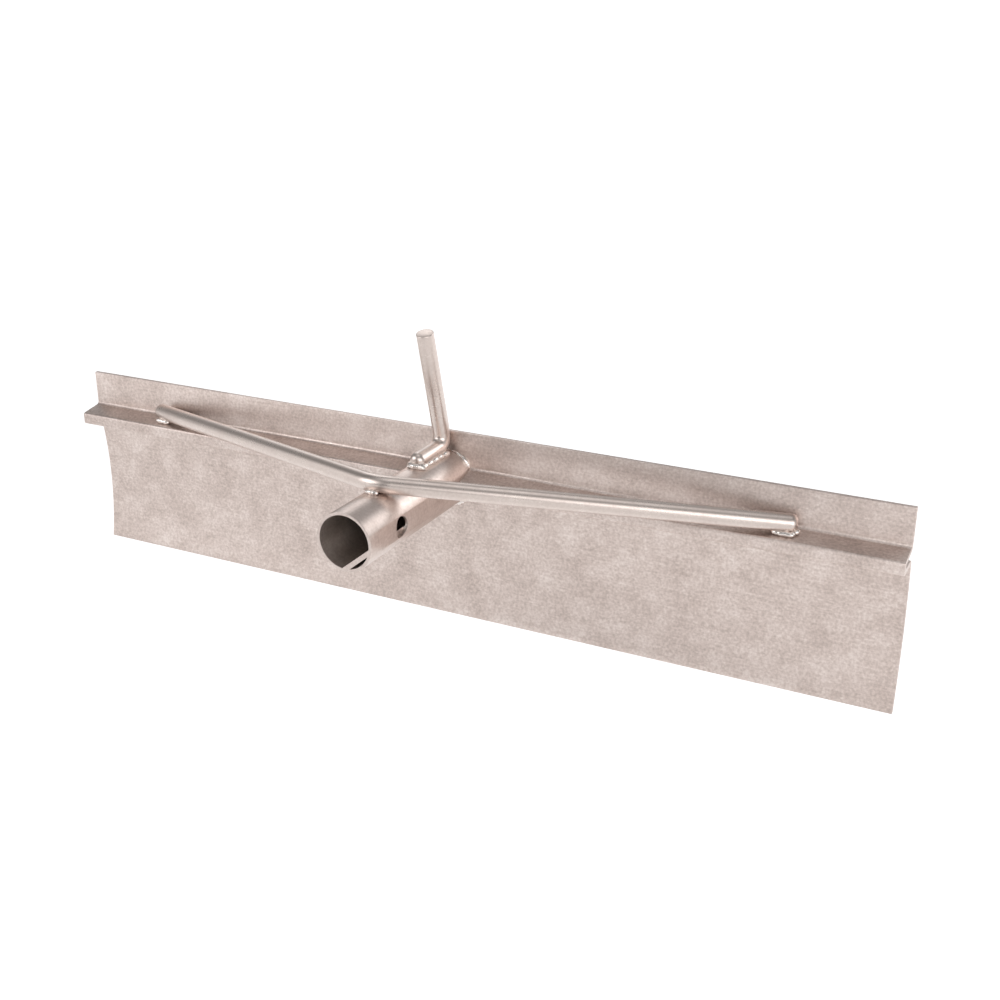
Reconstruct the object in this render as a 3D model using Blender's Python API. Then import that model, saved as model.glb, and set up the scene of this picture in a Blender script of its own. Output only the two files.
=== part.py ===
"""Head of a concrete placer: aluminium blade, handle socket, brace and lifting hook.

Frame: the origin is the centre of the socket's open mouth. +Y runs along the socket
towards the blade, +X along the blade, +Z up. Metres.

The blade is one bent section: a flat top flange, a rib that stands out in front of it
as a stiffener, and a lower blade that is hollow towards the user. The socket tube
butts against the blade and is coped round the rib. A round bar bent to a V lies over
the socket and stands with both its ends on the rib. A bent hook bar lies on the socket
and rises past the flange. Everything is welded, so each weld is a piece of its own.
"""
import math

import bmesh
import bpy
from mathutils import Vector

MM = 0.001

# Clearance left between pieces that touch.
GAP = 0.3 * MM

# Blade
BLADE_LENGTH = 508.0 * MM
SHEET = 2.5 * MM                   # thickness all over
FLANGE_TOP = 27.0 * MM             # above the socket's axis
BLADE_BOTTOM = -84.6 * MM
FLANGE_FRONT = 105.3 * MM          # front face of the flange, from the socket's mouth
RIB_REACH = 14.0 * MM              # how far the rib stands out in front of the flange
RIB_TOP = 6.4 * MM                 # where the rib's top meets the flange
RIB_SLOPE = 0.19                   # the rib's top falls this much for each unit forward
RIB_BOTTOM = -3.3 * MM
LOWER_RADIUS = 225.0 * MM          # front face of the lower blade
LOWER_DEEPEST = (4.0 * MM, -40.6 * MM)   # behind the flange's face, and height
FRONT_BENDS = (2.0, 1.5, 1.3, 1.5) # mm; front face, at the rib's four corners from the top
BACK_BENDS = (2.5, 0.6, 0.6, 2.5)  # mm; back face, at the same corners

# Handle socket
SOCKET_RADIUS = 15.875 * MM
SOCKET_BORE = 14.29 * MM
KEY_TILT = math.radians(-51.0)     # direction of the key wall's normal, from +X
KEY_NEAR = 10.0 * MM               # the key wall's two faces, from the axis
KEY_FAR = 12.6 * MM
BUTTON_HOLE_RADIUS = 5.6 * MM
BUTTON_HOLE_AT = 29.9 * MM         # from the mouth

# Bars
BAR_RADIUS = 4.7 * MM
BAR_OVER_SOCKET = SOCKET_RADIUS + GAP + BAR_RADIUS
BRACE_PEAK = 30.2 * MM             # where the V's two arms would cross, from the mouth
BRACE_TIP = Vector((199.6, 100.4, 10.5)) * MM
BRACE_ROUNDING = 3.6 * MM          # its ends' edges
BRACE_PEAK_BEND = 25.0 * MM
HOOK_SINK = 1.4 * MM               # the hook's leg is let into the socket's wall
HOOK_LEVEL = SOCKET_RADIUS + BAR_RADIUS - HOOK_SINK
HOOK_TOE = 70.0 * MM
HOOK_HEEL = 101.9 * MM             # where leg and shank would cross
HOOK_BEND = 7.0 * MM
HOOK_TIP = Vector((0.0, 83.7, 86.8)) * MM

# Welds
BEAD = 1.6 * MM                    # radius of a bead
SMALL_BEAD = 1.2 * MM
PEAK_WELD_FROM = math.radians(-9)  # the beads at the V bar's peak, round the socket
PEAK_WELD_TO = math.radians(4)

COLOUR_BLADE = (0.60, 0.54, 0.51, 1.0)
COLOUR_BAR = (0.68, 0.61, 0.58, 1.0)
COLOUR_WELD = (0.78, 0.73, 0.70, 1.0)


# ---------------------------------------------------------------- helpers

def clear_scene():
    for old in list(bpy.data.objects):
        bpy.data.objects.remove(old, do_unlink=True)


def metal(name, colour, roughness):
    material = bpy.data.materials.new(name)
    material.use_nodes = True
    shader = material.node_tree.nodes["Principled BSDF"]
    shader.inputs["Base Color"].default_value = colour
    shader.inputs["Roughness"].default_value = roughness
    shader.inputs["Metallic"].default_value = 1.0
    material.diffuse_color = colour
    return material


def add_object(name, mesh, material=None):
    piece = bpy.data.objects.new(name, mesh)
    bpy.context.collection.objects.link(piece)
    if material:
        mesh.materials.append(material)
    return piece


def rounded_path(corners, radii, step=math.radians(15)):
    """A polyline whose corners are replaced by arcs of the given radii."""
    path = [corners[0]]
    for before, corner, after, radius in zip(corners, corners[1:], corners[2:], radii):
        come = (corner - before).normalized()
        leave = (after - corner).normalized()
        turn = come.angle(leave)
        if radius == 0 or turn < 1e-4:
            path.append(corner)
            continue
        reach = radius * math.tan(turn / 2)
        start = corner - come * reach
        inward = (leave - come * leave.dot(come)).normalized()
        centre = start + inward * radius
        count = max(2, math.ceil(turn / step))
        for i in range(count + 1):
            angle = turn * i / count
            path.append(centre - inward * radius * math.cos(angle) + come * radius * math.sin(angle))
    path.append(corners[-1])
    return path


def offset_path(path, distance):
    """The path in the YZ plane moved sideways, to the right of its direction."""
    moved = []
    for i, point in enumerate(path):
        sides = []
        if i > 0:
            sides.append((point - path[i - 1]).normalized())
        if i < len(path) - 1:
            sides.append((path[i + 1] - point).normalized())
        along = sum(sides, Vector((0, 0, 0))).normalized()
        sideways = Vector((0, -along.z, along.y)) * -1
        moved.append(point + sideways * distance / along.dot(sides[0]))
    return moved


def prism(name, outline, along, start, end, material=None):
    """Extrude a closed outline of points from start to end along an axis vector."""
    mesh = bpy.data.meshes.new(name)
    bm = bmesh.new()
    bottom = [bm.verts.new(point + along * start) for point in outline]
    face = bm.faces.new(bottom)
    extruded = bmesh.ops.extrude_face_region(bm, geom=[face])["geom"]
    tops = [item for item in extruded if isinstance(item, bmesh.types.BMVert)]
    bmesh.ops.translate(bm, verts=tops, vec=along * (end - start))
    bmesh.ops.recalc_face_normals(bm, faces=bm.faces)
    bm.to_mesh(mesh)
    bm.free()
    return add_object(name, mesh, material)


def bar(name, path, radius, material, sides=16, ends=1.0):
    """A round bar along a path; ends below 1 taper its two end points."""
    return tapered_bar(name, path, [ends] + [1.0] * (len(path) - 2) + [ends], radius, material, sides)


def tapered_bar(name, path, tapers, radius, material, sides):
    """A round bar along a path whose radius is scaled at each point."""
    curve = bpy.data.curves.new(name, "CURVE")
    curve.dimensions = "3D"
    curve.bevel_depth = radius
    curve.bevel_resolution = (sides - 4) // 2
    curve.use_fill_caps = True
    curve.resolution_u = 1
    spline = curve.splines.new("POLY")
    spline.points.add(len(path) - 1)
    for point, place, taper in zip(spline.points, path, tapers):
        point.co = (*place, 1.0)
        point.radius = taper
    piece = bpy.data.objects.new(name, curve)
    bpy.context.collection.objects.link(piece)
    curve.materials.append(material)
    return piece


def rounded_end(tip, inward, rounding, radius):
    """Points and tapers of a bar's end whose edge is rounded, from the tip inwards."""
    steps = 5
    points = []
    tapers = []
    for i in range(steps + 1):
        angle = math.radians(90) * i / steps
        points.append(tip + inward * rounding * (1 - math.cos(angle)))
        tapers.append((radius - rounding * (1 - math.sin(angle))) / radius)
    return points, tapers


def cut(piece, cutter):
    cutter.hide_render = True
    cutter.display_type = "WIRE"
    modifier = piece.modifiers.new("cut " + cutter.name, "BOOLEAN")
    modifier.operation = "DIFFERENCE"
    modifier.solver = "EXACT"
    modifier.object = cutter


def smooth(piece, angle=30):
    piece.data.shade_smooth()
    piece.data.set_sharp_from_angle(angle=math.radians(angle))


# ---------------------------------------------------------------- blade

def blade_midline():
    """Mid thickness of the blade's section in the YZ plane, from top to bottom, unrounded."""
    half = SHEET / 2
    flange_y = FLANGE_FRONT + half
    lip_y = FLANGE_FRONT - RIB_REACH + half
    below_rib_top = half * math.sqrt(1 + RIB_SLOPE ** 2)

    def rib_top(y):
        return RIB_TOP - below_rib_top + RIB_SLOPE * (y - FLANGE_FRONT)

    radius = LOWER_RADIUS + half
    centre_y = FLANGE_FRONT + LOWER_DEEPEST[0] - LOWER_RADIUS

    def lower(height):
        drop = height - LOWER_DEEPEST[1]
        return Vector((0, centre_y + math.sqrt(radius ** 2 - drop ** 2), height))

    underside = RIB_BOTTOM + half
    corners = [
        Vector((0, flange_y, FLANGE_TOP)),
        Vector((0, flange_y, rib_top(flange_y))),
        Vector((0, lip_y, rib_top(lip_y))),
        Vector((0, lip_y, underside)),
        lower(underside),
    ]
    steps = 12
    for i in range(1, steps + 1):
        corners.append(lower(underside + (BLADE_BOTTOM - underside) * i / steps))
    return corners


def blade_face(distance, bends):
    """One face of the section: the midline moved sideways, its rib's corners rounded."""
    path = offset_path(blade_midline(), distance)
    radii = [bend * MM for bend in bends] + [0] * (len(path) - 2 - len(bends))
    return rounded_path(path, radii, step=math.radians(18))


def make_blade(material):
    front = blade_face(SHEET / 2, FRONT_BENDS)
    back = blade_face(-SHEET / 2, BACK_BENDS)
    outline = front + back[::-1]
    piece = prism("blade", outline, Vector((1, 0, 0)), -BLADE_LENGTH / 2, BLADE_LENGTH / 2, material)
    smooth(piece)
    return piece


def blade_space():
    """All the space from just in front of the blade's front face backwards."""
    front = blade_face(SHEET / 2 + GAP, FRONT_BENDS)
    behind = 40 * MM
    above = 20 * MM
    outline = [Vector((0, front[0].y, front[0].z + above))] + front
    outline.append(Vector((0, front[-1].y + behind, front[-1].z)))
    outline.append(Vector((0, front[-1].y + behind, front[0].z + above)))
    reach = SOCKET_RADIUS * 2
    return prism("blade_space", outline, Vector((1, 0, 0)), -reach, reach)


# ---------------------------------------------------------------- socket

def arc_points(radius, start, end, count):
    return [Vector((radius * math.cos(start + (end - start) * i / count), 0,
                    radius * math.sin(start + (end - start) * i / count)))
            for i in range(count + 1)]


def make_socket(material):
    along = Vector((0, 1, 0))
    length = FLANGE_FRONT + 8 * MM
    circle = arc_points(SOCKET_RADIUS, 0, math.tau, 48)[:-1]
    piece = prism("socket_tube", circle, along, 0, length, material)
    past = 2 * MM

    half_wide = math.acos(KEY_NEAR / SOCKET_BORE)
    wide = arc_points(SOCKET_BORE, KEY_TILT + half_wide, KEY_TILT + math.tau - half_wide, 40)
    cut(piece, prism("bore_main", wide, along, -past, length + past))

    half_small = math.acos(KEY_FAR / SOCKET_BORE)
    small = arc_points(SOCKET_BORE, KEY_TILT - half_small, KEY_TILT + half_small, 12)
    cut(piece, prism("bore_behind_key", small, along, -past, length + past))

    hole = [Vector((0, BUTTON_HOLE_AT + BUTTON_HOLE_RADIUS * math.cos(math.tau * i / 24),
                    BUTTON_HOLE_RADIUS * math.sin(math.tau * i / 24))) for i in range(24)]
    inner = SOCKET_BORE - 1.3 * MM
    cut(piece, prism("button_hole", hole, Vector((1, 0, 0)), inner, SOCKET_RADIUS + past))

    groove = arc_points(BAR_RADIUS + GAP, 0, math.tau, 32)[:-1]
    for point in groove:
        point.z += HOOK_LEVEL
    cut(piece, prism("hook_groove", groove, along, HOOK_TOE - GAP, length + past))

    cut(piece, blade_space())
    smooth(piece)
    return piece


# ---------------------------------------------------------------- bars

def make_brace(material):
    """V bar: over the socket, then down to the rib's corner with the flange at both ends."""
    left = Vector((-BRACE_TIP.x, BRACE_TIP.y, BRACE_TIP.z))
    peak = Vector((0, BRACE_PEAK, BAR_OVER_SOCKET))
    middle = rounded_path([left, peak, BRACE_TIP], [BRACE_PEAK_BEND], step=math.radians(8))[1:-1]
    path, tapers = rounded_end(left, (peak - left).normalized(), BRACE_ROUNDING, BAR_RADIUS)
    other_path, other_tapers = rounded_end(BRACE_TIP, (peak - BRACE_TIP).normalized(),
                                           BRACE_ROUNDING, BAR_RADIUS)
    path = path + middle + other_path[::-1]
    tapers = tapers + [1.0] * len(middle) + other_tapers[::-1]
    return tapered_bar("brace_rod", path, tapers, BAR_RADIUS, material, sides=20)


def make_hook(material):
    """Short leg on the socket, then a shank that rises and leans to the user."""
    toe = Vector((0, HOOK_TOE, HOOK_LEVEL))
    heel = Vector((0, HOOK_HEEL, HOOK_LEVEL))
    path = rounded_path([toe, heel, HOOK_TIP], [HOOK_BEND])
    return bar("lifting_hook", path, BAR_RADIUS, material)


# ---------------------------------------------------------------- welds

def make_socket_welds(material):
    """Beads round the socket's end: on the flange above, on the lower blade below."""
    radius = SOCKET_RADIUS + GAP + SMALL_BEAD
    flange_y = FLANGE_FRONT - GAP - SMALL_BEAD
    start = math.radians(22)           # the hook's heel is in between
    end = math.radians(62)
    pieces = []
    for side, name in ((-1, "flange_weld_left"), (1, "flange_weld_right")):
        path = [Vector((side * radius * math.sin(a), flange_y, radius * math.cos(a)))
                for a in (start + (end - start) * i / 10 for i in range(11))]
        pieces.append(bar(name, path, SMALL_BEAD, material, sides=8, ends=0.6))

    radius = SOCKET_RADIUS + GAP + BEAD
    lower_y = FLANGE_FRONT + LOWER_DEEPEST[0] - GAP - BEAD
    spread = math.radians(62)
    low = []
    for i in range(17):
        a = spread * (i / 8 - 1)
        z = -radius * math.cos(a)
        drop = z - LOWER_DEEPEST[1]
        low.append(Vector((radius * math.sin(a), lower_y - drop ** 2 / (2 * LOWER_RADIUS), z)))
    pieces.append(bar("lower_blade_weld", low, BEAD, material, sides=8, ends=0.6))
    return pieces


def make_hook_weld(material):
    """One bead that runs back along each side of the hook's leg and round its toe."""
    bead = SMALL_BEAD
    ride = SOCKET_RADIUS + GAP + bead          # bead's distance from the socket's axis
    reach = BAR_RADIUS + GAP + bead            # and from the bar's axis
    height = (ride ** 2 + HOOK_LEVEL ** 2 - reach ** 2) / (2 * HOOK_LEVEL)
    side = math.sqrt(ride ** 2 - height ** 2)
    back = FLANGE_FRONT - 9.0 * MM
    front = HOOK_TOE - GAP - bead
    path = []
    for i in range(6):
        path.append(Vector((side, back + (HOOK_TOE - back) * i / 5, height)))
    for i in range(1, 12):
        a = math.pi * i / 12
        x = side * math.cos(a)
        y = HOOK_TOE - (HOOK_TOE - front) * math.sin(a) ** 0.5
        path.append(Vector((x, y, math.sqrt(ride ** 2 - x ** 2))))
    for i in range(6):
        path.append(Vector((-side, HOOK_TOE + (back - HOOK_TOE) * i / 5, height)))
    return bar("hook_weld", path, bead, material, sides=8, ends=0.6)


def make_brace_peak_welds(material):
    """Beads before and behind the V bar where it lies across the socket."""
    ride = SOCKET_RADIUS + GAP + BEAD
    reach = BAR_RADIUS + GAP + BEAD
    slope = (BRACE_TIP.y - BRACE_PEAK) / BRACE_TIP.x
    lift = BRACE_PEAK_BEND * (math.sqrt(1 + slope ** 2) - 1)
    pieces = []
    for side, name in ((-1, "brace_weld_front"), (1, "brace_weld_rear")):
        path = []
        for i in range(9):
            a = PEAK_WELD_FROM + (PEAK_WELD_TO - PEAK_WELD_FROM) * i / 8
            x = ride * math.sin(a)
            z = ride * math.cos(a)
            bend = BRACE_PEAK_BEND - math.sqrt(BRACE_PEAK_BEND ** 2 - x ** 2)
            away = math.sqrt(reach ** 2 - (BAR_OVER_SOCKET - z) ** 2)
            path.append(Vector((x, BRACE_PEAK + lift + bend + side * (away + 0.25 * MM), z)))
        pieces.append(bar(name, path, BEAD, material, sides=8, ends=0.6))
    return pieces


def make_brace_end_welds(material):
    """Short bead under the front of each end of the V bar, on the rib's top."""
    peak = Vector((0, BRACE_PEAK, BAR_OVER_SOCKET))
    along = BRACE_TIP - peak
    skew = math.hypot(along.x, along.y) / along.x      # the bar crosses the rib at an angle
    over_rib = GAP + SMALL_BEAD
    reach = BAR_RADIUS + GAP + SMALL_BEAD
    pieces = []
    for side, name, start in ((-1, "brace_end_weld_left", 10.5), (1, "brace_end_weld_right", 9.0)):
        path = []
        for i in range(7):
            x = BRACE_TIP.x - start * MM + i * 1.3 * MM
            axis = peak + along * (x / BRACE_TIP.x)
            rib = RIB_TOP + RIB_SLOPE * (axis.y - FLANGE_FRONT)
            height = axis.z - rib - over_rib
            y = axis.y - math.sqrt(reach ** 2 - height ** 2) * skew
            z = RIB_TOP + RIB_SLOPE * (y - FLANGE_FRONT) + over_rib
            path.append(Vector((side * x, y, z)))
        pieces.append(bar(name, path, SMALL_BEAD, material, sides=8, ends=0.6))
    return pieces


def main():
    clear_scene()
    blade_metal = metal("blade_metal", COLOUR_BLADE, 0.42)
    tube_metal = metal("tube_metal", COLOUR_BLADE, 0.38)
    brace_metal = metal("brace_metal", COLOUR_BAR, 0.34)
    hook_metal = metal("hook_metal", COLOUR_BAR, 0.34)
    weld_metal = metal("weld_metal", COLOUR_WELD, 0.25)
    make_blade(blade_metal)
    make_socket(tube_metal)
    make_brace(brace_metal)
    make_hook(hook_metal)
    make_socket_welds(weld_metal)
    make_hook_weld(weld_metal)
    make_brace_peak_welds(weld_metal)
    make_brace_end_welds(weld_metal)


main()
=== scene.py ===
"""Concrete placer head: the finished look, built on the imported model.

Metres, the model's own frame: the origin is the centre of the socket's open mouth,
+Y runs along the socket to the blade, +X along the blade and +Z up. Everything is bare
aluminium: an extruded blade, a keyed socket tube, two bent round bars, and the welds.
"""
import math
import random

import bmesh
import bpy
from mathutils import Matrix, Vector


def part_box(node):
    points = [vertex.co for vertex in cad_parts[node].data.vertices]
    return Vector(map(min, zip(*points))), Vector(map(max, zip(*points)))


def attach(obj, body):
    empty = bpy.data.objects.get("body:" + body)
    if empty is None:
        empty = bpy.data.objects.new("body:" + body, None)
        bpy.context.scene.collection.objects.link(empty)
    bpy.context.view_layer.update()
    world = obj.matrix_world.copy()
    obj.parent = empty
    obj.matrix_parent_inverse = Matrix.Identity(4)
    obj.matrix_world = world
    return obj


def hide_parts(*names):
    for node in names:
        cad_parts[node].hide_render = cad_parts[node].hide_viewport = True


MM = 0.001
X = Vector((1, 0, 0))
Y = Vector((0, 1, 0))

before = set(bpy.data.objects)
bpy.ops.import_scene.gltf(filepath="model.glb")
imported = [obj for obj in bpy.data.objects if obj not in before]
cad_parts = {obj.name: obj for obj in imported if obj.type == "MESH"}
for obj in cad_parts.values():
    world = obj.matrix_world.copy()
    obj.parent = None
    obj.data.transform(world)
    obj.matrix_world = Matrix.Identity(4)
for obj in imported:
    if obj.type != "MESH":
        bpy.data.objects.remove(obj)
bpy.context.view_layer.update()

# Driving sizes; those of the boxes are read from the model
BLADE_LOW, BLADE_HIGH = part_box("blade")
SOCKET_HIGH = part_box("socket_tube")[1]
HOOK_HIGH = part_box("lifting_hook")[1]
SHEET = 2.5 * MM
BLADE_BOW = 4.0 * MM               # how far the lower blade is hollowed behind the flange
FLANGE_FRONT = BLADE_HIGH.y - BLADE_BOW - SHEET
RIB_TOP = 6.4 * MM                 # where the rib's top meets the flange
RIB_SLOPE = 0.19                   # how steeply the rib's top falls to the front
RIB_BOTTOM = -3.3 * MM
LOWER_RADIUS = 225.0 * MM
LOWER_DEEPEST = -40.6 * MM         # height of the hollow's deepest line
SOCKET_RADIUS = SOCKET_HIGH.x
SOCKET_BORE = SOCKET_RADIUS * 0.9
KEY_TILT = math.radians(-51.0)     # direction of the key wall's normal, from +X
KEY_NEAR = 10.0 * MM
KEY_FAR = 12.6 * MM
BUTTON_HOLE_RADIUS = 5.6 * MM
BUTTON_HOLE_AT = 29.9 * MM
BAR_RADIUS = HOOK_HIGH.x
BAR_OVER_SOCKET = SOCKET_RADIUS + 0.3 * MM + BAR_RADIUS
BRACE_PEAK = Vector((0, 30.2 * MM, BAR_OVER_SOCKET))
BRACE_TIP = Vector((199.6, 100.4, 10.5)) * MM
BRACE_BEND = 25.0 * MM
BRACE_ROUNDING = 3.6 * MM
HOOK_LEVEL = SOCKET_RADIUS + BAR_RADIUS - 1.4 * MM
HOOK_TOE = Vector((0, 70.0 * MM, HOOK_LEVEL))
HOOK_HEEL = Vector((0, 101.9 * MM, HOOK_LEVEL))
HOOK_TIP = Vector((0.0, 83.7, 86.8)) * MM
HOOK_BEND = 7.0 * MM
HOOK_TOE_ROUNDING = 4.0 * MM
BROKEN_EDGE = 0.3 * MM
BUTTON_HOLE_EDGE = 0.35 * MM
SAWN_EDGE = 0.4 * MM
COPE_GAP = 0.4 * MM                # the socket's far end stops this far from the blade
PAST_THE_END = 8.0 * MM            # the tube is drawn this much too long, then coped
WELD_FINENESS = 0.16 * MM
WELD_SOFTENING = 8


# ---------------------------------------------------------------- modelling helpers

def deselect():
    if bpy.context.object and bpy.context.object.mode == "EDIT":
        bpy.ops.object.mode_set(mode="OBJECT")
    bpy.ops.object.select_all(action="DESELECT")


def named(name):
    """Name the primitive just added and put its place into its mesh."""
    piece = bpy.context.object
    piece.name = name
    piece.data.name = name
    bpy.ops.object.transform_apply(location=True, rotation=True, scale=True)
    return piece


def edit(piece):
    deselect()
    piece.select_set(True)
    bpy.context.view_layer.objects.active = piece
    bpy.ops.object.mode_set(mode="EDIT")


def select(piece, kind, test):
    """In edit mode, select only the vertices, edges or faces that pass the test."""
    bpy.ops.mesh.select_mode(type=kind)
    bpy.ops.mesh.select_all(action="DESELECT")
    bm = bmesh.from_edit_mesh(piece.data)
    items = {"VERT": bm.verts, "EDGE": bm.edges, "FACE": bm.faces}[kind]
    for item in items:
        if test(item):
            item.select_set(True)
    bm.select_flush_mode()
    bmesh.update_edit_mesh(piece.data)


def boolean(piece, cutter):
    """Cut the cutter out of the piece for good, and remove it."""
    deselect()
    bpy.context.view_layer.objects.active = piece
    modifier = piece.modifiers.new("cut", "BOOLEAN")
    modifier.operation = "DIFFERENCE"
    modifier.solver = "EXACT"
    modifier.object = cutter
    bpy.ops.object.modifier_apply(modifier=modifier.name)
    bpy.data.objects.remove(cutter, do_unlink=True)


def round_edges(piece, width, segments, test):
    """Round off the edges that pass the test."""
    edit(piece)
    select(piece, "EDGE", test)
    bpy.ops.mesh.bevel(offset_type="OFFSET", offset=width, segments=segments, profile=0.5,
                       affect="EDGES", clamp_overlap=True)
    bpy.ops.object.mode_set(mode="OBJECT")


def sharper_than(edge, degrees):
    return len(edge.link_faces) == 2 and edge.calc_face_angle(0) > math.radians(degrees)


def finish_piece(piece, node, material, angle=32):
    """Close the seams, shade, give the finish, and let the piece stand for its CAD node."""
    edit(piece)
    bpy.ops.mesh.select_all(action="SELECT")
    bpy.ops.mesh.remove_doubles(threshold=0.000002)
    bpy.ops.mesh.normals_make_consistent(inside=False)
    bpy.ops.object.mode_set(mode="OBJECT")
    bpy.ops.object.shade_smooth_by_angle(angle=math.radians(angle))
    piece.data.materials.clear()
    piece.data.materials.append(material)
    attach(piece, "root")
    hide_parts(node)
    return piece


# ---------------------------------------------------------------- blade

def section_corners(distance):
    """The blade's section in the YZ plane, top to bottom, its front face moved back."""
    flange_y = FLANGE_FRONT + distance
    lip_y = BLADE_LOW.y + distance
    drop = distance * math.hypot(1, RIB_SLOPE)

    def rib_top(y):
        return RIB_TOP - drop + RIB_SLOPE * (y - FLANGE_FRONT)

    radius = LOWER_RADIUS + distance
    centre_y = FLANGE_FRONT + BLADE_BOW - LOWER_RADIUS

    def lower(height):
        across = math.sqrt(radius ** 2 - (height - LOWER_DEEPEST) ** 2)
        return Vector((0, centre_y + across, height))

    underside = RIB_BOTTOM + distance
    corners = [Vector((0, flange_y, BLADE_HIGH.z)), Vector((0, flange_y, rib_top(flange_y))),
               Vector((0, lip_y, rib_top(lip_y))), Vector((0, lip_y, underside)), lower(underside)]
    steps = 28
    for i in range(1, steps + 1):
        corners.append(lower(underside + (BLADE_LOW.z - underside) * i / steps))
    return corners


def profiled_bar(name, front, back, start, end):
    """Draw a section as a strip between two lines, then pull it out along X."""
    bpy.ops.mesh.primitive_plane_add(size=SHEET, rotation=(0, math.radians(90), 0))
    piece = named(name)
    edit(piece)
    at_start = X * start
    bm = bmesh.from_edit_mesh(piece.data)
    for vert, place in zip(list(bm.faces)[0].verts, (front[0], front[1], back[1], back[0])):
        vert.co = place + at_start
    bmesh.update_edit_mesh(piece.data)
    last = (front[1] + at_start, back[1] + at_start)
    for before, behind in zip(front[2:], back[2:]):
        close = 1e-6
        select(piece, "VERT", lambda vert: min((vert.co - place).length for place in last) < close)
        bpy.ops.mesh.select_mode(type="EDGE")
        bpy.ops.mesh.extrude_edges_move()
        bm = bmesh.from_edit_mesh(piece.data)
        chosen = [vert for vert in bm.verts if vert.select]
        chosen.sort(key=lambda vert: (vert.co - last[0]).length)
        chosen[0].co = before + at_start
        chosen[1].co = behind + at_start
        bmesh.update_edit_mesh(piece.data)
        last = (before + at_start, behind + at_start)
    bpy.ops.mesh.select_mode(type="FACE")
    bpy.ops.mesh.select_all(action="SELECT")
    bpy.ops.mesh.dissolve_faces()
    bpy.ops.mesh.extrude_region_move(TRANSFORM_OT_translate={"value": X * (end - start)})
    bpy.ops.mesh.select_all(action="SELECT")
    bpy.ops.mesh.normals_make_consistent(inside=False)
    bpy.ops.object.mode_set(mode="OBJECT")
    return piece


def round_fold(piece, corner, radius, turn, segments):
    """Round one long fold of a profiled bar to the given bend radius."""
    def on_fold(edge):
        middle = (edge.verts[0].co + edge.verts[1].co) / 2
        long = abs(edge.verts[0].co.x - edge.verts[1].co.x) > 1 * MM
        return long and math.hypot(middle.y - corner.y, middle.z - corner.z) < 0.02 * MM

    round_edges(piece, radius * math.tan(turn / 2), segments, on_fold)


FRONT_BENDS = (2.0 * MM, 1.5 * MM, 1.3 * MM, 1.5 * MM)
BACK_BENDS = (2.5 * MM, 0.6 * MM, 0.6 * MM, 2.5 * MM)


def folded_section(name, ahead, start, end, with_back):
    """The blade's shape, its front face moved ahead; without a back it is all that lies behind."""
    front = section_corners(-ahead)
    back = section_corners(SHEET)
    if not with_back:
        back = [Vector((0, BLADE_HIGH.y + 30 * MM, corner.z)) for corner in front]
        front[0].z += 20 * MM
        back[0].z += 20 * MM
        back[1].z = front[1].z + 1 * MM
        for i in range(2, len(back)):
            back[i].z = min(front[i].z, back[i - 1].z - 0.01 * MM)
    piece = profiled_bar(name, front, back, start, end)
    for face, bends in ((front, FRONT_BENDS), (back, BACK_BENDS)):
        if face is back and not with_back:
            continue
        for i, radius in enumerate(bends):
            come = (face[i + 1] - face[i]).normalized()
            leave = (face[i + 2] - face[i + 1]).normalized()
            round_fold(piece, face[i + 1], radius, come.angle(leave), 6)
    return piece


def make_blade(material):
    """Extruded blade: flange, rib and hollow lower blade in one section, its sawn edges broken."""
    piece = folded_section("extruded_blade", 0.0, BLADE_LOW.x, BLADE_HIGH.x, True)
    round_edges(piece, BROKEN_EDGE, 2, lambda edge: sharper_than(edge, 55))
    return finish_piece(piece, "blade", material)


# ---------------------------------------------------------------- socket

def turned_to(direction):
    """Rotation that turns a primitive's Z axis along a direction."""
    return direction.to_track_quat("Z", "Y").to_euler()


def cylinder(name, radius, start, end, vertices=96):
    length = (end - start).length
    bpy.ops.mesh.primitive_cylinder_add(vertices=vertices, radius=radius, depth=length,
                                        location=(start + end) / 2, rotation=turned_to(end - start))
    return named(name)


def chorded(name, distance, keep_inside):
    """A bore's round core with one side cut off flat at the key wall."""
    core = cylinder(name, SOCKET_BORE, Y * -5 * MM, Y * (FLANGE_FRONT + 12 * MM))
    normal = Vector((math.cos(KEY_TILT), 0, math.sin(KEY_TILT)))
    edit(core)
    bpy.ops.mesh.select_all(action="SELECT")
    bpy.ops.mesh.bisect(plane_co=normal * distance, plane_no=normal, use_fill=True,
                        clear_outer=keep_inside, clear_inner=not keep_inside)
    bpy.ops.object.mode_set(mode="OBJECT")
    return core


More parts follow.
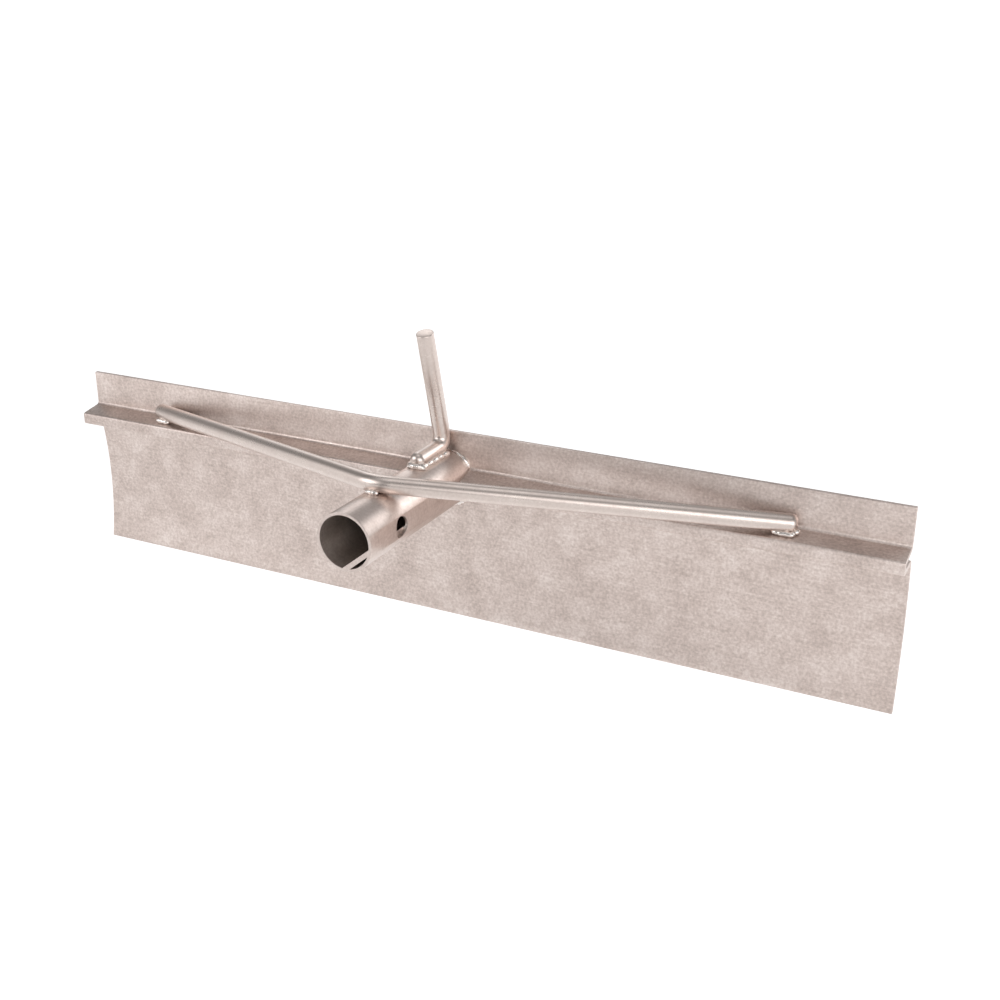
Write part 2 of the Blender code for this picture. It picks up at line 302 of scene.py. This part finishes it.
def make_socket(outside, inside):
    """Keyed tube: coped to the blade, drilled for the handle's spring button, rims broken."""
    piece = cylinder("keyed_socket", SOCKET_RADIUS, Y * 0, Y * (FLANGE_FRONT + PAST_THE_END), 128)
    boolean(piece, chorded("main_core", KEY_NEAR, True))
    boolean(piece, chorded("core_behind_key", KEY_FAR, False))
    drill_from = X * (SOCKET_BORE - 1.3 * MM) + Y * BUTTON_HOLE_AT
    boolean(piece, cylinder("drill", BUTTON_HOLE_RADIUS, drill_from, drill_from + X * 10 * MM, 64))
    reach = SOCKET_RADIUS * 1.5
    boolean(piece, folded_section("cope", -COPE_GAP, -reach, reach, False))

    def at_mouth(edge):
        return sharper_than(edge, 50) and all(vert.co.y < 0.01 * MM for vert in edge.verts)

    def at_button_hole(edge):
        near_hole = all((vert.co.yz - Vector((BUTTON_HOLE_AT, 0))).length < BUTTON_HOLE_RADIUS * 1.03
                        and math.hypot(vert.co.x, vert.co.z) > SOCKET_RADIUS - 0.05 * MM
                        for vert in edge.verts)
        return near_hole and sharper_than(edge, 30)

    round_edges(piece, BROKEN_EDGE, 2, at_mouth)
    round_edges(piece, BUTTON_HOLE_EDGE, 2, at_button_hole)
    finish_piece(piece, "socket_tube", outside)
    # The bore's wall gets a second, darker and duller material: painted shade inside the tube
    piece.data.materials.append(inside)
    for face in piece.data.polygons:
        middle = face.center
        outward = Vector((middle.x, 0, middle.z)).normalized()
        in_bore = math.hypot(middle.x, middle.z) < SOCKET_RADIUS - 0.8 * MM
        along_wall = abs(face.normal.y) < 0.5 and face.normal.dot(outward) < 0.9
        if in_bore and along_wall and middle.y > 0.4 * MM:
            face.material_index = 1
    return piece


# ---------------------------------------------------------------- bars

def bent_bar(name, first, corner, last, bend, sides=40, turn_steps=14):
    """A round bar: a disc pulled to the bend, spun round it, and pulled to the other end."""
    come = (corner - first).normalized()
    leave = (last - corner).normalized()
    turn = come.angle(leave)
    reach = bend * math.tan(turn / 2)
    bpy.ops.mesh.primitive_circle_add(vertices=sides, radius=BAR_RADIUS, fill_type="NGON",
                                      location=first, rotation=turned_to(come))
    piece = named(name)
    edit(piece)
    bpy.ops.mesh.select_mode(type="FACE")
    bpy.ops.mesh.select_all(action="SELECT")
    straight = come * ((corner - first).length - reach)
    bpy.ops.mesh.extrude_region_move(TRANSFORM_OT_translate={"value": straight})
    inward = (leave - come * leave.dot(come)).normalized()
    centre = corner - come * reach + inward * bend
    axis = come.cross(leave).normalized()
    bpy.ops.mesh.spin(steps=turn_steps, angle=-turn, center=centre, axis=axis)
    onward = leave * ((last - corner).length - reach)
    bpy.ops.mesh.extrude_region_move(TRANSFORM_OT_translate={"value": onward})
    bpy.ops.object.mode_set(mode="OBJECT")
    far = max((vert.co - last).length for vert in piece.data.vertices
              if (vert.co - last).dot(leave) > -0.01 * MM)
    if far > BAR_RADIUS * 1.01:
        raise ValueError(name + " was spun the wrong way")
    return piece


def around(point, direction):
    """Test for the edges of the flat end of a bar at a point."""
    def test(edge):
        return all(abs((vert.co - point).dot(direction)) < 0.01 * MM
                   and (vert.co - point).length < BAR_RADIUS * 1.05 for vert in edge.verts)
    return test


def make_brace(material):
    """V bar across the socket; both ends rounded over where they meet the rib's corner."""
    left = Vector((-BRACE_TIP.x, BRACE_TIP.y, BRACE_TIP.z))
    piece = bent_bar("v_brace", left, BRACE_PEAK, BRACE_TIP, BRACE_BEND)
    for tip in (left, BRACE_TIP):
        round_edges(piece, BRACE_ROUNDING, 8, around(tip, (tip - BRACE_PEAK).normalized()))
    return finish_piece(piece, "brace_rod", material)


def make_hook(material):
    """Hook bar: leg along the socket, shank up past the flange; tip sawn square, toe rounded over."""
    piece = bent_bar("hook_bar", HOOK_TOE, HOOK_HEEL, HOOK_TIP, HOOK_BEND)
    round_edges(piece, SAWN_EDGE, 3, around(HOOK_TIP, (HOOK_TIP - HOOK_HEEL).normalized()))
    round_edges(piece, HOOK_TOE_ROUNDING, 8, around(HOOK_TOE, Y))
    return finish_piece(piece, "lifting_hook", material)


# ---------------------------------------------------------------- welds

def weld_bead(name, node, puddles, material):
    """A weld as the torch leaves it: puddles laid one over the next, then run together.

    Each puddle is its place, the bead's direction there, its half length and half width.
    """
    parts = []
    for place, along, half_length, half_width in puddles:
        bpy.ops.mesh.primitive_ico_sphere_add(subdivisions=4, radius=1, location=place,
                                              rotation=along.to_track_quat("X", "Z").to_euler(),
                                              scale=(half_length, half_width, half_width))
        parts.append(named("puddle"))
    deselect()
    for part in parts:
        part.select_set(True)
    bpy.context.view_layer.objects.active = parts[0]
    bpy.ops.object.join()
    bead = bpy.context.object
    bead.name = name
    bead.data.name = name
    merge = bead.modifiers.new("run together", "REMESH")
    merge.mode = "VOXEL"
    merge.voxel_size = WELD_FINENESS
    bpy.ops.object.modifier_apply(modifier=merge.name)
    soften = bead.modifiers.new("soften", "SMOOTH")
    soften.factor = 0.5
    soften.iterations = WELD_SOFTENING
    bpy.ops.object.modifier_apply(modifier=soften.name)
    return finish_piece(bead, node, material, angle=80)


def along_line(points, pitch, half_length, half_width, seed):
    """Puddles at even steps along a line of points, each a little different."""
    spread = random.Random(seed)
    lengths = [0.0]
    for before, after in zip(points, points[1:]):
        lengths.append(lengths[-1] + (after - before).length)
    count = max(2, round(lengths[-1] / pitch) + 1)
    puddles = []
    for i in range(count):
        far = lengths[-1] * i / (count - 1)
        at = max(j for j in range(len(lengths) - 1) if lengths[j] <= far)
        direction = (points[at + 1] - points[at]).normalized()
        place = points[at] + direction * (far - lengths[at])
        size = spread.uniform(0.92, 1.08)
        wander = Vector([spread.uniform(-0.12, 0.12) * MM for _ in range(3)])
        puddles.append((place + wander, direction, half_length * size, half_width * size))
    return puddles


def make_hook_weld(material):
    """Broad ripples down both sides of the hook's leg, and a neat loop round its toe."""
    side = 4.1 * MM
    height = 16.4 * MM
    heel = HOOK_HEEL.y - 6 * MM
    toe = HOOK_TOE.y + 3.8 * MM
    loop_depth = 3.9 * MM
    puddles = []
    for hand in (-1, 1):
        line = [Vector((hand * side, heel, height)), Vector((hand * side, toe, height))]
        puddles += along_line(line, 6.0 * MM, 4.2 * MM, 2.1 * MM, 11 + hand)
    for i in range(13):
        turn = math.pi * i / 12
        x = side * math.cos(turn)
        y = toe - loop_depth * math.sin(turn)
        place = Vector((x, y, math.sqrt(SOCKET_RADIUS ** 2 - x ** 2) + 1.3 * MM))
        along = Vector((-side * math.sin(turn), -loop_depth * math.cos(turn), 0))
        puddles.append((place, along, 2.0 * MM, 1.9 * MM))
    return weld_bead("hook_fillet", "hook_weld", puddles, material)


def make_flange_welds(material):
    """Two lobes on each side of the hook, in the corner between the socket and the flange."""
    out = SOCKET_RADIUS + 0.1 * MM
    y = FLANGE_FRONT - 0.4 * MM
    lobes = ((20, 2.2, 0.8), (30, 3.4, 1.15), (47, 4.0, 1.8), (55, 2.6, 1.5))
    for hand, name in ((-1, "left"), (1, "right")):
        puddles = []
        for degrees, half_length, half_width in lobes:
            turn = math.radians(degrees)
            place = Vector((hand * out * math.sin(turn), y, out * math.cos(turn)))
            along = Vector((hand * math.cos(turn), 0, -math.sin(turn)))
            puddles.append((place, along, half_length * MM, half_width * MM))
        weld_bead("flange_fillet_" + name, "flange_weld_" + name, puddles, material)


def make_lower_weld(material):
    """The long bead under the socket, on the lower blade."""
    out = SOCKET_RADIUS + 0.7 * MM
    line = []
    for i in range(25):
        turn = math.radians(-42 + 84 * i / 24)
        z = -out * math.cos(turn)
        sag = (z - LOWER_DEEPEST) ** 2 / (2 * LOWER_RADIUS)
        y = FLANGE_FRONT + BLADE_BOW - sag - 0.8 * MM
        line.append(Vector((out * math.sin(turn), y, z)))
    puddles = along_line(line, 2.6 * MM, 2.2 * MM, 1.9 * MM, 3)
    return weld_bead("lower_fillet", "lower_blade_weld", puddles, material)


def make_peak_welds(material):
    """Short tacks in front of and behind the V brace where it crosses the socket."""
    ride = SOCKET_RADIUS + 1.1 * MM
    reach = BAR_RADIUS + 0.9 * MM
    for hand, name in ((-1, "front"), (1, "rear")):
        puddles = []
        for degrees, half_length, half_width in ((-7, 2.6, 1.2), (-3, 3.0, 1.5), (2, 2.8, 1.4)):
            turn = math.radians(degrees)
            x = ride * math.sin(turn)
            z = ride * math.cos(turn)
            away = math.sqrt(reach ** 2 - (BAR_OVER_SOCKET - z) ** 2)
            place = Vector((x, BRACE_PEAK.y + 1.6 * MM + hand * away, z))
            puddles.append((place, X, half_length * MM, half_width * MM))
        weld_bead("peak_fillet_" + name, "brace_weld_" + name, puddles, material)


def make_end_welds(material):
    """Tacks under the front of the V brace's ends, on the rib's top."""
    for hand, name, span in ((-1, "left", (191.4, 195.6)), (1, "right", (190.6, 196.6))):
        line = []
        for i in range(4):
            x = (span[0] + (span[1] - span[0]) * i / 3) * MM
            line.append(Vector((hand * x, 95.4 * MM, 6.0 * MM)))
        puddles = along_line(line, 2.2 * MM, 3.0 * MM, 1.5 * MM, 31 + hand)
        if hand > 0:
            for x, y, z in ((198.6, 96.6, 6.3), (200.0, 98.2, 6.9)):
                puddles.append((Vector((x, y, z)) * MM, Vector((0.6, 0.8, 0)), 1.9 * MM, 1.4 * MM))
        weld_bead("end_fillet_" + name, "brace_end_weld_" + name, puddles, material)


# ---------------------------------------------------------------- materials

def colour(code):
    """sRGB hex value as linear colour."""
    channels = [int(code[i:i + 2], 16) / 255 for i in (0, 2, 4)]
    linear = [c / 12.92 if c <= 0.04045 else ((c + 0.055) / 1.055) ** 2.4 for c in channels]
    return (*linear, 1.0)


def add(material, kind, links=None, **settings):
    """Add a shader node; settings fill its properties or inputs, links feed its inputs."""
    tree = material.node_tree
    node = tree.nodes.new(kind)
    for key, value in settings.items():
        if hasattr(node, key):
            setattr(node, key, value)
        else:
            place = int(key[1:]) if key[1:].isdigit() else key.replace("_", " ")
            node.inputs[place].default_value = value
    for key, source in (links or {}).items():
        tree.links.new(source, node.inputs[key])
    return node


def bare_metal(name, roughness):
    material = bpy.data.materials.new(name)
    material.use_nodes = True
    shader = material.node_tree.nodes["Principled BSDF"]
    shader.inputs["Metallic"].default_value = 1.0
    shader.inputs["Roughness"].default_value = roughness
    return material, shader


def ramp(material, source, stops):
    """Colour ramp through (position, hex) stops."""
    node = add(material, "ShaderNodeValToRGB", {"Fac": source})
    elements = node.color_ramp.elements
    while len(elements) < len(stops):
        elements.new(0.5)
    for element, (position, code) in zip(elements, stops):
        element.position = position
        element.color = colour(code)
    return node.outputs["Color"]


def noise(material, place, size_mm, detail=3.0, roughness=0.5):
    """Noise whose blotches are about size_mm across."""
    return add(material, "ShaderNodeTexNoise", {"Vector": place}, Scale=1 / (size_mm * MM),
               Detail=detail, Roughness=roughness).outputs["Fac"]


def metal_finish(name, tones, roughness, grain_axis, drawn_out, blotch_mm, grain_mm, relief):
    """Bare aluminium: cloudy tone, fine grain, and drawing lines along one axis."""
    material, shader = bare_metal(name, roughness)
    place = add(material, "ShaderNodeTexCoord").outputs["Object"]
    cloud = noise(material, place, blotch_mm, 7.0, 0.65)
    grain = noise(material, place, grain_mm, 2.0, 0.6)
    stretch = [1.0, 1.0, 1.0]
    stretch["XYZ".index(grain_axis)] = drawn_out
    drawn = add(material, "ShaderNodeMapping", {"Vector": place})
    drawn.inputs["Scale"].default_value = stretch
    lines = noise(material, drawn.outputs["Vector"], 0.9, 3.0, 0.7)
    mixed = add(material, "ShaderNodeMath", {0: cloud}, operation="MULTIPLY", _1=0.42)
    mixed = add(material, "ShaderNodeMath", {0: grain, 2: mixed.outputs[0]},
                operation="MULTIPLY_ADD", _1=0.40)
    mixed = add(material, "ShaderNodeMath", {0: lines, 2: mixed.outputs[0]},
                operation="MULTIPLY_ADD", _1=0.18)
    tone = ramp(material, mixed.outputs[0], tones)
    material.node_tree.links.new(tone, shader.inputs["Base Color"])
    gloss = add(material, "ShaderNodeMapRange", {"Value": mixed.outputs[0]},
                From_Min=0.3, From_Max=0.7, To_Min=roughness + 0.06, To_Max=roughness - 0.05)
    material.node_tree.links.new(gloss.outputs["Result"], shader.inputs["Roughness"])
    height = add(material, "ShaderNodeMath", {0: lines, 2: grain}, operation="MULTIPLY_ADD", _1=0.5)
    bump = add(material, "ShaderNodeBump", {"Height": height.outputs[0]},
               Strength=relief, Distance=0.05 * MM)
    material.node_tree.links.new(bump.outputs["Normal"], shader.inputs["Normal"])
    return material


def make_materials():
    bar_tones = ((0.36, "CDBFB8"), (0.5, "D5C8C1"), (0.64, "DCD0C9"))
    return {
        # Mill-finish extrusion: soft sheen, cloudy tone, faint die lines along its length
        "sheet": metal_finish("mill_finish_extrusion",
                              ((0.36, "B8A9A2"), (0.5, "D2C3BC"), (0.64, "E8DCD6")),
                              0.42, "X", 0.05, 22.0, 1.5, 0.3),
        # Drawn tube: closer grain and more sheen than the blade
        "tube": metal_finish("drawn_tube_aluminium",
                             ((0.36, "C4B5AE"), (0.5, "D2C4BD"), (0.64, "DED1CB")),
                             0.34, "Y", 0.03, 18.0, 1.6, 0.15),
        # Inside the tube: painted shade, a darker and duller tone than the outside standing for the shade
        # deep in the bore
        "bore": metal_finish("bore_painted_shade",
                             ((0.36, "A2978F"), (0.5, "B0A59E"), (0.64, "BDB2AC")),
                             0.50, "Y", 0.03, 12.0, 1.6, 0.3),
        # Cold-drawn bars: bright, with fine lines along them
        "bar": metal_finish("drawn_bar_aluminium", bar_tones, 0.29, "X", 0.3, 14.0, 1.4, 0.05),
        "hook": metal_finish("drawn_hook_aluminium", bar_tones, 0.29, "Z", 0.3, 14.0, 1.4, 0.05),
        # Fresh filler metal: smooth from the melt and almost bright
        "weld": metal_finish("aluminium_filler_bead",
                             ((0.36, "D6CCC6"), (0.5, "E4DCD7"), (0.64, "EDE6E1")),
                             0.24, "Y", 0.5, 6.0, 0.9, 0.06),
    }


# ---------------------------------------------------------------- stage, light, camera

def make_floor():
    """A wide pale floor well below the head, as it is held by its socket; brightest behind it."""
    bpy.ops.mesh.primitive_plane_add(size=160, location=(0, 0, -0.55))
    floor = named("floor")
    material = bpy.data.materials.new("pale_floor")
    material.use_nodes = True
    shader = material.node_tree.nodes["Principled BSDF"]
    shader.inputs["Base Color"].default_value = colour("E0E0E0")
    shader.inputs["Roughness"].default_value = 0.9
    shader.inputs["Emission Color"].default_value = colour("E0E0E0")
    place = add(material, "ShaderNodeTexCoord").outputs["Object"]
    across = add(material, "ShaderNodeSeparateXYZ", {"Vector": place}).outputs["Y"]
    glow = add(material, "ShaderNodeMapRange", {"Value": across}, interpolation_type="SMOOTHSTEP",
               From_Min=-0.5, From_Max=0.05, To_Min=0.5, To_Max=0.72)
    material.node_tree.links.new(glow.outputs["Result"], shader.inputs["Emission Strength"])
    floor.data.materials.append(material)


# Soft lamps round the head. Bearing 0 is straight behind the blade and 90 is to its right. Each
# row is bearing, height, strength and tightness: the glow fades with the angle from the lamp.
LAMPS = (
    (220, 25, 3.6, 30),     # key, in front from the left
    (160, 25, 1.4, 30),     # fill, in front from the right: the line along the right-hand bar
    (130, 12, 3.5, 12),     # right-hand wall
    (240, 12, 1.2, 12),     # left-hand wall: the left-hand bar
    (323, 41, 1.7, 60),     # high behind on the left: the hook's sawn end
    (324, 20, 1.3, 60),     # behind on the left: the line along the socket's top
    (300, 28, 0.4, 14),     # broad, behind on the left: the rib's top
    (0, 38, 0.4, 12),       # straight behind: the socket's top
    (30, 24, 1.0, 30),      # behind on the right: the socket's upper right
    (50, 32, 1.4, 30),      # behind, further right
    (35, 10, 1.9, 12),      # low behind on the right: the socket's right side
    (70, 12, 0.4, 12),      # from the right: the socket near its mouth
    (200, 85, 1.2, 12),     # overhead: the tops of the bars
)
AMBIENT = 0.03


def make_world():
    """Soft studio: round lamps at a distance light the head; the room itself is plain and pale."""
    world = bpy.data.worlds.new("studio")
    bpy.context.scene.world = world
    world.use_nodes = True
    direction = add(world, "ShaderNodeTexCoord").outputs["Generated"]
    total = None
    for azimuth, elevation, strength, tightness in LAMPS:
        bearing = math.radians(azimuth)
        lift = math.radians(elevation)
        towards = (math.sin(bearing) * math.cos(lift), math.cos(bearing) * math.cos(lift), math.sin(lift))
        facing = add(world, "ShaderNodeVectorMath", {0: direction}, operation="DOT_PRODUCT", _1=towards)
        fall = add(world, "ShaderNodeMath", {0: facing.outputs["Value"]}, operation="MULTIPLY_ADD",
                   _1=tightness, _2=-tightness)
        shape = add(world, "ShaderNodeMath", {0: fall.outputs[0]}, operation="EXPONENT")
        so_far = {0: shape.outputs[0]}
        if total:
            so_far[2] = total
        total = add(world, "ShaderNodeMath", so_far, operation="MULTIPLY_ADD", _1=strength,
                    **({} if total else {"_2": AMBIENT})).outputs[0]
    lamps = world.node_tree.nodes["Background"]
    lamps.inputs["Color"].default_value = colour("FFFFFF")
    world.node_tree.links.new(total, lamps.inputs["Strength"])
    room = add(world, "ShaderNodeBackground", Color=colour("FFFFFF"), Strength=1.0)
    seen = add(world, "ShaderNodeLightPath").outputs["Is Camera Ray"]
    both = add(world, "ShaderNodeMixShader", {0: seen, 1: lamps.outputs[0], 2: room.outputs[0]})
    output = world.node_tree.nodes["World Output"]
    world.node_tree.links.new(both.outputs[0], output.inputs["Surface"])


CAMERA_AT = (0.343, -0.505, 0.26263)
CAMERA_AZIMUTH = 26.92
CAMERA_ELEVATION = 21.62
LENS = 48.07


def make_camera():
    azimuth = math.radians(CAMERA_AZIMUTH)
    elevation = math.radians(CAMERA_ELEVATION)
    back = Vector((math.sin(azimuth) * math.cos(elevation), -math.cos(azimuth) * math.cos(elevation),
                   math.sin(elevation)))
    data = bpy.data.cameras.new("camera")
    data.sensor_width = 36.0
    data.lens = LENS
    camera = bpy.data.objects.new("camera", data)
    bpy.context.collection.objects.link(camera)
    camera.location = CAMERA_AT
    camera.rotation_euler = (-back).to_track_quat("-Z", "Y").to_euler()
    bpy.context.scene.camera = camera


def main():
    make_camera()
    make_floor()
    make_world()
    bpy.context.scene.view_settings.view_transform = "Standard"
    metals = make_materials()
    make_blade(metals["sheet"])
    make_socket(metals["tube"], metals["bore"])
    make_brace(metals["bar"])
    make_hook(metals["hook"])
    make_hook_weld(metals["weld"])
    make_flange_welds(metals["weld"])
    make_lower_weld(metals["weld"])
    make_peak_welds(metals["weld"])
    make_end_welds(metals["weld"])


main()
